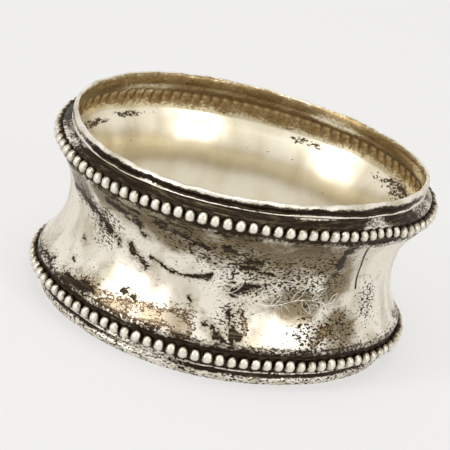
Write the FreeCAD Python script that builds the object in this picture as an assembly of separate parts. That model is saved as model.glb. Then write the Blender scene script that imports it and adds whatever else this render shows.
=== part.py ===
import FreeCAD, Part
import math
import os

# Napkin ring: one silver sheet rolled into a hoop with a hollow waist. Each end has a stamped
# border: a rounded lip, a thin line between two coves, a row of beads and a fillet towards the
# waist. The hoop has been knocked out of round: it is oval, its upper end is wavy and a crease
# crosses the waist. The origin is the middle of the end it stands on, and +Z is the hoop's axis.

doc = FreeCAD.newDocument("NapkinRing")
sheet = doc.addObject("Spreadsheet::Sheet", "Sizes")

# Driving dimensions in millimetres and degrees. An inset is measured from the lip's edge towards
# the waist, a step from the plain band inwards. A turn is the direction of one lobe or crest.
sizeRows = [
    ("bandRadius", 23.05, "outside of the plain band under the beads, while round"),
    ("ringHeight", 24.6, "from lip to lip"),
    ("sheetThickness", 0.5, "silver sheet"),
    ("lipStep", 1.0, "lip, outside"),
    ("lipHeight", 0.9, "height of the rounded lip"),
    ("lipRound", 0.15, "lip swells by this from its edge"),
    ("lineInset", 1.6, "crest of the thin line"),
    ("lineStep", 1.1, "crest of the thin line"),
    ("coveDepth", 0.22, "coves on both sides of the thin line"),
    ("bandInset", 3.44, "middle of the bead row"),
    ("bandWidth", 1.7, "plain band under the beads"),
    ("filletInset", 4.8, "crest of the fillet on the waist side"),
    ("filletRise", 0.1, "fillet above its grooves"),
    ("waistInset", 5.3, "edge of the hollow waist"),
    ("waistStep", 0.25, "edge of the hollow waist"),
    ("waistDepth", 2.75, "narrowest part of the waist, as a step"),
    ("beadCount", 94, "beads in a row"),
    ("beadWidth", 1.3, "bead along the row"),
    ("beadHeight", 1.56, "bead across the row"),
    ("beadRise", 0.95, "flat crest of a bead above the band"),
    ("beadShoulder", 0.52, "widest part of a bead above the band"),
    ("beadCrest", 0.45, "width of the crest as a share of the bead"),
    ("rimOval", 1.36, "upper end out of round, two lobes"),
    ("rimOvalTurn", 19.3, "its turn"),
    ("rimThree", 0.28, "upper end out of round, three lobes"),
    ("rimThreeTurn", 38.9, "its turn"),
    ("rimFour", 0.41, "upper end out of round, four lobes"),
    ("rimFourTurn", 3.3, "its turn"),
    ("baseOval", 1.17, "lower end out of round, two lobes"),
    ("baseOvalTurn", 15.1, "its turn"),
    ("baseFour", 0.2, "lower end out of round, four lobes"),
    ("baseFourTurn", -1.9, "its turn"),
    ("lipWave", 0.52, "upper lip up and down, two waves"),
    ("lipWaveTurn", -46.8, "its turn"),
    ("lipRipple", 0.25, "upper lip up and down, three waves"),
    ("lipRippleTurn", 30.1, "its turn"),
    ("rowTilt", 0.3, "upper bead row, higher on one side"),
    ("rowTiltTurn", -120.0, "its turn"),
    ("rowWave", 0.38, "upper bead row up and down, two waves"),
    ("rowWaveTurn", -54.9, "its turn"),
    ("rowRipple", 0.36, "upper bead row up and down, three waves"),
    ("rowRippleTurn", 38.4, "its turn"),
    ("creaseRise", 0.3, "crease above the waist"),
    ("creaseSpread", 5.0, "half width of the crease"),
    ("creaseLow", 304.0, "turn of the crease at the lower end"),
    ("creaseHigh", 317.0, "turn of the crease at the upper end"),
]
for rowNumber, (alias, value, note) in enumerate(sizeRows, start=1):
    sheet.set("A%d" % rowNumber, alias)
    sheet.set("B%d" % rowNumber, str(value))
    sheet.set("C%d" % rowNumber, note)
    sheet.setAlias("B%d" % rowNumber, alias)
doc.recompute()
sizes = {alias: float(sheet.get(alias)) for alias, value, note in sizeRows}

ringHeight = sizes["ringHeight"]
upperRow = ringHeight - sizes["bandInset"]
beadCount = int(round(sizes["beadCount"]))


def lobes(angle, count, name):
    """Wave of count lobes round the hoop, with its height and turn from the sheet."""
    return sizes[name] * math.cos(count * (angle - math.radians(sizes[name + "Turn"])))


def outOfRound(angle, share):
    """Radial offset of the wall; share is 0 at the lower lip and 1 at the upper one."""
    rim = lobes(angle, 2, "rimOval") + lobes(angle, 3, "rimThree") + lobes(angle, 4, "rimFour")
    base = lobes(angle, 2, "baseOval") + lobes(angle, 4, "baseFour")
    low = math.radians(sizes["creaseLow"])
    high = math.radians(sizes["creaseHigh"])
    away = (angle - low - share * (high - low) + math.pi) % (2 * math.pi) - math.pi
    crease = sizes["creaseRise"] * math.exp(-((away / math.radians(sizes["creaseSpread"])) ** 2))
    return base + share * (rim - base) + 4 * share * (1 - share) * crease


def lift(angle, height):
    """Height offset: none at the lower lip, so that the ring stands, and free at the upper one."""
    row = lobes(angle, 1, "rowTilt") + lobes(angle, 2, "rowWave") + lobes(angle, 3, "rowRipple")
    lip = lobes(angle, 2, "lipWave") + lobes(angle, 3, "lipRipple")
    if height < upperRow:
        return row * height / upperRow
    share = (height - upperRow) / (ringHeight - upperRow)
    return row + share * (lip - row)


def bent(angle, radius, height):
    """Where a point of the round hoop lies once the hoop is bent."""
    reach = radius + outOfRound(angle, height / ringHeight)
    return FreeCAD.Vector(reach * math.cos(angle), reach * math.sin(angle), height + lift(angle, height))


def evenAngles(radius, height, count):
    """Angles that share the bent hoop into equal lengths, each measured in fine steps."""
    fineSteps = 40
    steps = fineSteps * count
    angles = [2 * math.pi * step / steps for step in range(steps + 1)]
    corners = [bent(angle, radius, height) for angle in angles]
    lengths = [0.0]
    for start, end in zip(corners, corners[1:]):
        lengths.append(lengths[-1] + start.distanceToPoint(end))
    even = []
    for step, length in enumerate(lengths):
        if length >= lengths[-1] * len(even) / count and len(even) < count:
            even.append(angles[step])
    return even


# The hoop is drawn in cells, one for each bead, that meet in the gaps between the beads
cellAngles = evenAngles(sizes["bandRadius"], ringHeight / 2, beadCount)
cells = list(zip(cellAngles, cellAngles[1:] + [cellAngles[0] + 2 * math.pi]))


def flatFace(*corners):
    return Part.Face(Part.makePolygon(list(corners) + [corners[0]]))


def ruledFace(lowStart, lowEnd, highStart, highEnd):
    return Part.makeRuledSurface(Part.makeLine(lowStart, lowEnd), Part.makeLine(highStart, highEnd))


def bands(section):
    """Bands of the wall between the neighbouring points of a section, cell by cell."""
    faces = []
    for low, high in zip(section, section[1:]):
        for start, end in cells:
            faces.append(ruledFace(bent(start, *low), bent(end, *low), bent(start, *high), bent(end, *high)))
    return faces


def mirrored(section):
    """The same section at the upper end of the ring, still from below upwards."""
    return [(radius, ringHeight - height) for radius, height in reversed(section)]


# Sections of the lower end from its lip inwards, each point a radius and a height
bandRadius = sizes["bandRadius"]
thickness = sizes["sheetThickness"]
lipRadius = bandRadius - sizes["lipStep"]
lineRadius = bandRadius - sizes["lineStep"]
coveRadius = lineRadius - sizes["coveDepth"]
bandStart = sizes["bandInset"] - sizes["bandWidth"] / 2
bandEnd = sizes["bandInset"] + sizes["bandWidth"] / 2
lipCove = (sizes["lipHeight"] + sizes["lineInset"]) / 2
bandCove = (sizes["lineInset"] + bandStart) / 2

borderOutside = [
    (lipRadius - sizes["lipRound"], 0),
    (lipRadius, sizes["lipHeight"] / 2),
    (coveRadius, lipCove),
    (lineRadius, sizes["lineInset"]),
    (coveRadius, bandCove),
    (bandRadius, bandStart),
]
waistEdge = (bandRadius - sizes["waistStep"], sizes["waistInset"])
filletOutside = [
    (bandRadius, bandEnd),
    (bandRadius + sizes["filletRise"], sizes["filletInset"]),
    waistEdge,
]
borderInside = [
    (coveRadius - thickness, 0),
    (coveRadius - thickness, bandCove),
    (bandRadius - thickness, bandEnd),
]

# The hollow of the waist is an arc round a point outside it, drawn in facets
outsideFacets = 6
insideFacets = 4
halfSpan = ringHeight / 2 - waistEdge[1]
sag = sizes["waistDepth"] - sizes["waistStep"]
arcRadius = (halfSpan**2 + sag**2) / (2 * sag)
arcCentre = bandRadius - sizes["waistDepth"] + arcRadius


def waistArc(reach, facets):
    """Points of the waist's section at a distance from the centre of its arc."""
    opening = math.asin(halfSpan / arcRadius)
    arc = []
    for step in range(facets + 1):
        turn = opening * (2 * step / facets - 1)
        arc.append((arcCentre - reach * math.cos(turn), ringHeight / 2 + reach * math.sin(turn)))
    return arc


outside = waistArc(arcRadius, outsideFacets)
inside = borderInside + waistArc(arcRadius + thickness, insideFacets)[1:-1] + mirrored(borderInside)

# A bead is a six-sided dome in the middle of its cell: a shoulder and a flat crest, each given
# by its height above the band and its share of the bead's width
beadSides = 6
beadSlant = math.sin(math.pi / 3)
beadLevels = [(sizes["beadShoulder"], 1.0), (sizes["beadRise"], sizes["beadCrest"])]


def beadCorners(seat, along, across, outward, rise, share):
    """Corners of a bead at one height, from the one that points back along the row."""
    corners = []
    for side in range(beadSides):
        turn = math.pi + 2 * math.pi * side / beadSides
        sideways = along * (share * sizes["beadWidth"] / 2 * math.cos(turn))
        upwards = across * (share * sizes["beadHeight"] / 2 * math.sin(turn) / beadSlant)
        corners.append(seat + sideways + upwards + outward * rise)
    return corners


def beadRow(low, high):
    """Faces of a row of beads on the band between two points of the section."""
    faces = []
    for start, end in cells:
        lowStart, lowEnd = bent(start, *low), bent(end, *low)
        highStart, highEnd = bent(start, *high), bent(end, *high)
        seat = (lowStart + lowEnd + highStart + highEnd) / 4
        along = (lowEnd + highEnd - lowStart - highStart).normalize()
        outward = along.cross(highStart + highEnd - lowStart - lowEnd).normalize()
        across = outward.cross(along)
        foot, crest = [beadCorners(seat, along, across, outward, *level) for level in beadLevels]
        faces += [
            flatFace(lowStart, lowEnd, foot[1]),
            flatFace(lowEnd, foot[2], foot[1]),
            flatFace(highStart, foot[5], highEnd),
            flatFace(highEnd, foot[5], foot[4]),
            flatFace(lowStart, foot[1], foot[0]),
            flatFace(lowStart, foot[0], highStart),
            flatFace(highStart, foot[0], foot[5]),
            flatFace(lowEnd, foot[3], foot[2]),
            flatFace(lowEnd, highEnd, foot[3]),
            flatFace(highEnd, foot[4], foot[3]),
            flatFace(*crest),
        ]
        for side in range(beadSides):
            after = (side + 1) % beadSides
            faces.append(flatFace(foot[side], foot[after], crest[after], crest[side]))
    return faces


# The sheet: its outside from lip to lip, its inside, and the flat lips that join them
lips = [borderOutside[0], borderInside[0]]
faces = bands(borderOutside)
faces += beadRow(borderOutside[-1], filletOutside[0])
faces += bands(filletOutside)
faces += bands(outside)
faces += bands(mirrored(filletOutside))
faces += beadRow(mirrored(filletOutside)[-1], mirrored(borderOutside)[0])
faces += bands(mirrored(borderOutside))
faces += bands(inside)
faces += bands(mirrored(lips))
baseLoops = []
for lip in lips:
    loop = [bent(angle, *lip) for angle in cellAngles]
    baseLoops.append(Part.makePolygon(loop + loop[:1]))
faces.append(Part.makeFace(baseLoops, "Part::FaceMakerBullseye"))

shell = Part.makeShell(faces)
shell.sewShape()
solid = Part.makeSolid(shell)
if solid.Volume < 0:
    solid.reverse()

ring = doc.addObject("Part::Feature", "NapkinRing")
ring.Label = "napkin_ring"
ring.Shape = solid
doc.recompute()

for item in doc.Objects:
    if "Invalid" in item.State or "Error" in item.State:
        raise RuntimeError("%s failed to recompute" % item.Label)
if ring.Shape.isNull() or not ring.Shape.isValid() or len(ring.Shape.Solids) != 1:
    raise RuntimeError("the ring is not one valid solid")

os.makedirs("parts", exist_ok=True)
ring.Shape.exportStep("parts/%s.step" % ring.Label)
print(ring.Label, round(ring.Shape.Volume, 2), "mm3", len(ring.Shape.Faces), "faces", ring.Shape.BoundBox)
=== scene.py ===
import bpy
import math
from mathutils import Matrix, Vector


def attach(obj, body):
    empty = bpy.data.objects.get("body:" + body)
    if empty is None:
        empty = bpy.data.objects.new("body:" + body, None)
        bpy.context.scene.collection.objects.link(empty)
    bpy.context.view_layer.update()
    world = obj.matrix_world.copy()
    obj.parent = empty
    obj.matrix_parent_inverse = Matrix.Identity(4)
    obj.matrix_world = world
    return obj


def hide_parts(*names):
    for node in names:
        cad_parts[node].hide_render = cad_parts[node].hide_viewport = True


# A silver napkin ring, rolled from one sheet, with a beaded and stamped border at both ends.
# Sizes are in millimetres and degrees; the last step of each tree brings them to metres.

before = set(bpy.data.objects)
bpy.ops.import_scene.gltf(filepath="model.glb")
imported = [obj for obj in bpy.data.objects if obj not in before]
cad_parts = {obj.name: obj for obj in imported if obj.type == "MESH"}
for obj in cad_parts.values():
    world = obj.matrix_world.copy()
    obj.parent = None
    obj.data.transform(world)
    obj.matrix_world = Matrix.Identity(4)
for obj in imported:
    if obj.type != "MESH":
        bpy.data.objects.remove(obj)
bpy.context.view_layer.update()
millimetre = 0.001

hoop = {
    "bandRadius": 23.05,  # outside of the plain band under the beads
    "ringHeight": 24.6,
    "sheetThickness": 0.5,
    "lipStep": 1.0,
    "lipHeight": 0.9,
    "lipRound": 0.22,
    "lineInset": 1.6,
    "lineStep": 1.1,
    "lineWidth": 0.36,
    "lineSunk": 0.15,
    "lineSwell": 0.16,
    "lineHollow": 0.12,
    "coveDepth": 0.3,
    "bandInset": 3.44,
    "bandWidth": 1.7,
    "filletInset": 4.8,
    "filletRise": 0.1,
    "waistInset": 5.3,
    "waistStep": 0.25,
    "waistDepth": 2.75,
    "ease": 0.1,  # how far a border's corners are eased back
}

# How the hoop has been knocked out of round: a wave's height and the turn of its crest
bends = {
    "rimOval": 1.36,
    "rimOvalTurn": 19.3,
    "rimThree": 0.28,
    "rimThreeTurn": 38.9,
    "rimFour": 0.41,
    "rimFourTurn": 3.3,
    "baseOval": 1.17,
    "baseOvalTurn": 15.1,
    "baseFour": 0.2,
    "baseFourTurn": -1.9,
    "lipWave": 0.52,
    "lipWaveTurn": -46.8,
    "lipRipple": 0.25,
    "lipRippleTurn": 30.1,
    "rowTilt": 0.3,
    "rowTiltTurn": -120.0,
    "rowWave": 0.38,
    "rowWaveTurn": -54.9,
    "rowRipple": 0.36,
    "rowRippleTurn": 38.4,
    "creaseRise": 0.3,
    "creaseSpread": 5.0,
    "creaseLow": 304.0,
    "creaseHigh": 317.0,
}
bends["ringHeight"] = hoop["ringHeight"]
bends["upperRow"] = hoop["ringHeight"] - hoop["bandInset"]


# Adds a node, gives it its settings, and sets or links its inputs
def addNode(tree, kind, inputs=(), **settings):
    node = tree.nodes.new(kind)
    for name, value in settings.items():
        setattr(node, name, value)
    pairs = inputs.items() if isinstance(inputs, dict) else enumerate(inputs)
    for key, value in pairs:
        if isinstance(value, bpy.types.Node):
            value = value.outputs[0]
        if isinstance(value, bpy.types.NodeSocket):
            tree.links.new(value, node.inputs[key])
        else:
            node.inputs[key].default_value = value
    return node


def addTotal(tree, parts):
    total = parts[0]
    for part in parts[1:]:
        total = addNode(tree, "ShaderNodeMath", [total, part], operation="ADD")
    return total


def newTree(name, sockets, output):
    tree = bpy.data.node_groups.new(name, "GeometryNodeTree")
    for label, kind in sockets:
        tree.interface.new_socket(label, in_out="INPUT", socket_type=kind)
    tree.interface.new_socket(output[0], in_out="OUTPUT", socket_type=output[1])
    return tree, addNode(tree, "NodeGroupInput").outputs


def sizeSockets(*names):
    return [(name, "NodeSocketFloat") for name in names]


# One wave round the hoop: its height times the cosine of count times the angle from its crest
def addWave(tree, sizes, angle, name, count):
    turn = addNode(tree, "ShaderNodeMath", [sizes[name + "Turn"]], operation="RADIANS")
    away = addNode(tree, "ShaderNodeMath", [angle, turn], operation="SUBTRACT")
    phase = addNode(tree, "ShaderNodeMath", [away, count], operation="MULTIPLY")
    wave = addNode(tree, "ShaderNodeMath", [phase], operation="COSINE")
    return addNode(tree, "ShaderNodeMath", [wave, sizes[name]], operation="MULTIPLY")


def addWaves(tree, sizes, angle, counts):
    return addTotal(tree, [addWave(tree, sizes, angle, name, count) for name, count in counts.items()])


# A soft hump: 1 at its middle, falling off as a bell
def addHump(tree, ratios):
    squares = [addNode(tree, "ShaderNodeMath", [ratio, ratio], operation="MULTIPLY") for ratio in ratios]
    falling = addNode(tree, "ShaderNodeMath", [addTotal(tree, squares), -1.0], operation="MULTIPLY")
    return addNode(tree, "ShaderNodeMath", [falling], operation="EXPONENT")


def addAway(tree, angle, middle):
    away = addNode(tree, "ShaderNodeMath", [angle, middle], operation="SUBTRACT")
    return addNode(tree, "ShaderNodeMath", [away, math.pi, -math.pi], operation="WRAP")


def addSpot(tree, angle, radius, height):
    parts = []
    for operation in ("COSINE", "SINE"):
        part = addNode(tree, "ShaderNodeMath", [angle], operation=operation)
        parts.append(addNode(tree, "ShaderNodeMath", [radius, part], operation="MULTIPLY"))
    return addNode(tree, "ShaderNodeCombineXYZ", [*parts, height])


# Takes a point of the round hoop, by its angle, radius and height, to its place on the bent one
def makeBendGroup():
    sockets = sizeSockets("angle", "radius", "height", *bends)
    tree, sizes = newTree("bendHoop", sockets, ("place", "NodeSocketVector"))
    angle, height = sizes["angle"], sizes["height"]
    share = addNode(tree, "ShaderNodeMath", [height, sizes["ringHeight"]], operation="DIVIDE")
    rim = addWaves(tree, sizes, angle, {"rimOval": 2, "rimThree": 3, "rimFour": 4})
    base = addWaves(tree, sizes, angle, {"baseOval": 2, "baseFour": 4})
    gain = addNode(tree, "ShaderNodeMath", [rim, base], operation="SUBTRACT")
    tilted = addNode(tree, "ShaderNodeMath", [gain, share, base], operation="MULTIPLY_ADD")

    low, high, spread = [
        addNode(tree, "ShaderNodeMath", [sizes[name]], operation="RADIANS")
        for name in ("creaseLow", "creaseHigh", "creaseSpread")
    ]
    slant = addNode(tree, "ShaderNodeMath", [high, low], operation="SUBTRACT")
    ridge = addNode(tree, "ShaderNodeMath", [slant, share, low], operation="MULTIPLY_ADD")
    away = addAway(tree, angle, ridge)
    ratio = addNode(tree, "ShaderNodeMath", [away, spread], operation="DIVIDE")
    # four times the share times the rest is 1 at half height and nothing at the ends
    rest = addNode(tree, "ShaderNodeMath", [1.0, share], operation="SUBTRACT")
    middle = addNode(tree, "ShaderNodeMath", [share, rest], operation="MULTIPLY")
    rise = addNode(tree, "ShaderNodeMath", [sizes["creaseRise"], 4.0], operation="MULTIPLY")
    strength = addNode(tree, "ShaderNodeMath", [middle, rise], operation="MULTIPLY")
    hump = addHump(tree, [ratio])
    outward = addNode(tree, "ShaderNodeMath", [hump, strength, tilted], operation="MULTIPLY_ADD")
    reach = addNode(tree, "ShaderNodeMath", [sizes["radius"], outward], operation="ADD")

    row = addWaves(tree, sizes, angle, {"rowTilt": 1, "rowWave": 2, "rowRipple": 3})
    lip = addWaves(tree, sizes, angle, {"lipWave": 2, "lipRipple": 3})
    upTo = addNode(tree, "ShaderNodeMapRange", {"Value": height, "From Max": sizes["upperRow"]})
    beyond = addNode(tree, "ShaderNodeMapRange", {
        "Value": height, "From Min": sizes["upperRow"], "From Max": sizes["ringHeight"],
    })
    fromRow = addNode(tree, "ShaderNodeMath", [lip, row], operation="SUBTRACT")
    lifted = addNode(tree, "ShaderNodeMath", [row, upTo, height], operation="MULTIPLY_ADD")
    up = addNode(tree, "ShaderNodeMath", [fromRow, beyond, lifted], operation="MULTIPLY_ADD")

    addNode(tree, "NodeGroupOutput", [addSpot(tree, angle, reach, up)])
    return tree


bendGroup = makeBendGroup()


def addBend(tree, sizes, angle, radius, height):
    inputs = {"angle": angle, "radius": radius, "height": height}
    inputs.update({name: sizes[name] for name in bends})
    node = tree.nodes.new("GeometryNodeGroup")
    node.node_tree = bendGroup
    for name, value in inputs.items():
        tree.links.new(value.outputs[0] if isinstance(value, bpy.types.Node) else value, node.inputs[name])
    return node


pathCorners = 720  # of the path that even spacing is measured along


# The angle at a share of the way round, so that equal shares are equal lengths of the bent hoop
def makeEvenGroup():
    sockets = sizeSockets("share", "bandRadius", *bends)
    tree, sizes = newTree("evenAngle", sockets, ("angle", "NodeSocketFloat"))
    circle = addNode(tree, "GeometryNodeCurvePrimitiveCircle", {"Resolution": pathCorners, "Radius": 1.0})
    corner = addNode(tree, "ShaderNodeSeparateXYZ", [addNode(tree, "GeometryNodeInputPosition")])
    angle = addNode(tree, "ShaderNodeMath", [corner.outputs["Y"], corner.outputs["X"]], operation="ARCTAN2")
    middle = addNode(tree, "ShaderNodeMath", [sizes["ringHeight"], 0.5], operation="MULTIPLY")
    place = addBend(tree, sizes, angle, sizes["bandRadius"], middle)
    path = addNode(tree, "GeometryNodeSetPosition", {"Geometry": circle, "Position": place})
    sought = {"Curves": path, "Factor": sizes["share"]}
    found = addNode(tree, "GeometryNodeSampleCurve", sought, mode="FACTOR")
    spot = addNode(tree, "ShaderNodeSeparateXYZ", [found.outputs["Position"]])
    turned = addNode(tree, "ShaderNodeMath", [spot.outputs["Y"], spot.outputs["X"]], operation="ARCTAN2")
    addNode(tree, "NodeGroupOutput", [turned])
    return tree


evenGroup = makeEvenGroup()


def addEven(tree, sizes, share):
    node = tree.nodes.new("GeometryNodeGroup")
    node.node_tree = evenGroup
    tree.links.new(share.outputs[0], node.inputs["share"])
    for name in ("bandRadius", *bends):
        tree.links.new(sizes[name], node.inputs[name])
    return node


def finishTree(tree, body, metal):
    body = addNode(tree, "GeometryNodeSetShadeSmooth", {"Geometry": body})
    body = addNode(tree, "GeometryNodeRealizeInstances", {"Geometry": body})
    body = addNode(tree, "GeometryNodeSetMaterial", {"Geometry": body, "Material": metal})
    addNode(tree, "NodeGroupOutput", [body])


# Runs a tree on an object and leaves a plain mesh
def grow(piece, tree, values):
    modifier = piece.modifiers.new("shape", "NODES")
    modifier.node_group = tree
    for item in tree.interface.items_tree:
        if item.in_out == "INPUT" and item.name in values:
            modifier[item.identifier] = values[item.name]
    evaluated = piece.evaluated_get(bpy.context.evaluated_depsgraph_get())
    mesh = bpy.data.meshes.new_from_object(evaluated)
    piece.modifiers.clear()
    old = piece.data
    piece.data = mesh
    mesh.name = piece.name
    bpy.data.meshes.remove(old)
    print(piece.name, len(mesh.polygons), "faces")
    return piece


def newPiece(name, mesh):
    piece = bpy.data.objects.new(name, mesh)
    bpy.context.scene.collection.objects.link(piece)
    return piece


# Section of the wall. Each row of a border is one stretch: where it ends, how deep the tarnish sits
# there, how many steps lead to it, and how far the stretch swells outwards and gathers tarnish midway.
# The upper lip is bare metal only at its worn edge, and the lower lip all the way round its roll.
tarnishDepth = {
    "lower": {"edge": 0.1, "lip": 0.5, "lipMiddle": -0.1, "line": 0.9, "waist": 0.6},
    "upper": {"edge": -0.3, "lip": 0.95, "lipMiddle": 0.3, "line": 0.95, "waist": 0.5},
}


def borderStretches(end):
    depth = tarnishDepth[end]
    band = hoop["bandRadius"]
    lip = band - hoop["lipStep"]
    line = band - hoop["lineStep"]
    half = hoop["lineWidth"] / 2
    bandStart = hoop["bandInset"] - hoop["bandWidth"] / 2
    bandEnd = hoop["bandInset"] + hoop["bandWidth"] / 2
    cove = hoop["coveDepth"]
    ease = hoop["ease"]
    sunk = hoop["lineSunk"]
    return [
        (lip - hoop["lipRound"], 0.0, depth["edge"], 0, 0.0, 0.0),
        (lip - ease, hoop["lipHeight"], depth["lip"], 6, hoop["lipRound"] / 2, depth["lipMiddle"]),
        (line - sunk, hoop["lineInset"] - half, depth["line"], 4, -hoop["lineHollow"], 0.2),
        (line - sunk, hoop["lineInset"] + half, depth["line"], 4, hoop["lineSwell"], -0.75),
        (band - ease, bandStart, 0.9, 7, -cove, 0.2),
        (band, bandEnd, 0.9, 3, 0.0, 0.1),
        (band - ease / 2, hoop["filletInset"] - 0.25, 0.5 + depth["waist"] / 2, 2, -ease / 2, 0.1),
        (band - hoop["waistStep"], hoop["waistInset"], depth["waist"], 4, hoop["filletRise"], -0.1),
    ]


def drawStretches(stretches):
    points = []
    for radius, height, depth, steps, swell, gather in stretches:
        if not points:
            points.append((radius, height, depth))
            continue
        lastRadius, lastHeight, lastDepth = points[-1]
        for step in range(1, steps + 1):
            share = step / steps
            bow = 4 * share * (1 - share)
            points.append((
                lastRadius + share * (radius - lastRadius) + bow * swell,
                lastHeight + share * (height - lastHeight),
                lastDepth + share * (depth - lastDepth) + bow * gather,
            ))
    return points


def mirrored(points):
    return [(radius, hoop["ringHeight"] - height, depth) for radius, height, depth in reversed(points)]


def waistArc(offset, steps):
    halfSpan = hoop["ringHeight"] / 2 - hoop["waistInset"]
    sag = hoop["waistDepth"] - hoop["waistStep"]
    arcRadius = (halfSpan**2 + sag**2) / (2 * sag)
    centre = hoop["bandRadius"] - hoop["waistDepth"] + arcRadius
    opening = math.asin(halfSpan / arcRadius)
    points = []
    for step in range(1, steps):
        turn = opening * (2 * step / steps - 1)
        radius = centre - (arcRadius + offset) * math.cos(turn)
        points.append((radius, hoop["ringHeight"] / 2 + (arcRadius + offset) * math.sin(turn), 0.0))
    return points


def insideStretches():
    lip = hoop["bandRadius"] - hoop["lipStep"] - hoop["sheetThickness"]
    band = hoop["bandRadius"] - hoop["sheetThickness"]
    return [
        (lip - 0.12, 0.0, 0.6, 0, 0.0, 0.0),
        (lip - 0.3, hoop["lineInset"], 0.9, 5, -0.1, 0.1),
        (band - 0.35, hoop["bandInset"] - 0.8, 1.0, 4, -0.1, 0.0),
        (band - 0.1, hoop["bandInset"] + 0.8, 0.65, 5, 0.1, 0.0),
        (band - hoop["waistStep"] - 0.05, hoop["waistInset"], 0.15, 3, 0.0, 0.0),
    ]


# The section as a ring of loose points: x is the radius and z the height
def makeSection():
    lowerBorder = drawStretches(borderStretches("lower"))
    upperBorder = mirrored(drawStretches(borderStretches("upper")))
    insideBorder = drawStretches(insideStretches())
    outside = lowerBorder + waistArc(0.0, 20) + upperBorder
    inside = insideBorder + waistArc(hoop["sheetThickness"], 10) + mirrored(insideBorder)
    lipSteps = 2
    lip = []
    for step in range(1, lipSteps + 1):
        share = step / (lipSteps + 1)
        radius = outside[-1][0] + share * (inside[-1][0] - outside[-1][0])
        lip.append((radius, hoop["ringHeight"], 0.0))
    foot = [(radius, 0.0, 0.0) for radius, height, depth in reversed(lip)]
    points = outside + lip + inside[::-1] + foot
    isInside = [0.0] * (len(outside) + len(lip)) + [1.0] * len(inside) + [0.0] * len(foot)
    mesh = bpy.data.meshes.new("section")
    mesh.from_pydata([(radius, 0.0, height) for radius, height, depth in points], [], [])
    values = {"groove": [depth for radius, height, depth in points], "inside": isInside}
    for name, numbers in values.items():
        mesh.attributes.new(name, "FLOAT", "POINT").data.foreach_set("value", numbers)
    return mesh


wallSizes = {
    "columns": 752,  # eight to a bead
    "beadCount": 94,
    "bandRadius": hoop["bandRadius"],
    "dimpleDepth": 0.26,  # the beads seen from inside
    "dimpleHeight": 0.58,
    "dimpleLift": 0.4,  # the upper row of dimples sits higher at the back
    "bandInset": hoop["bandInset"],
    "wobble": 0.24,  # fine unevenness of the worn sheet
    "wobbleWidth": 5.0,
    "lipWobble": 0.4,
    "lipWobbleWidth": 2.2,
    "ripple": 0.22,  # upright ripples left by the rolling
    "rippleWidth": 4.5,
    "rippleStretch": 0.3,
}

# Shallow dents: turn, height, half width in degrees, half height, and depth inwards
dents = [
    (240.0, 10.5, 8.0, 4.5, 0.18),
    (257.0, 11.0, 5.0, 6.0, -0.12),
    (288.0, 8.0, 7.0, 4.0, 0.16),
    (268.0, 19.0, 4.0, 2.0, 0.15),
    (328.0, 13.0, 3.0, 4.5, 0.22),
]


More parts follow.
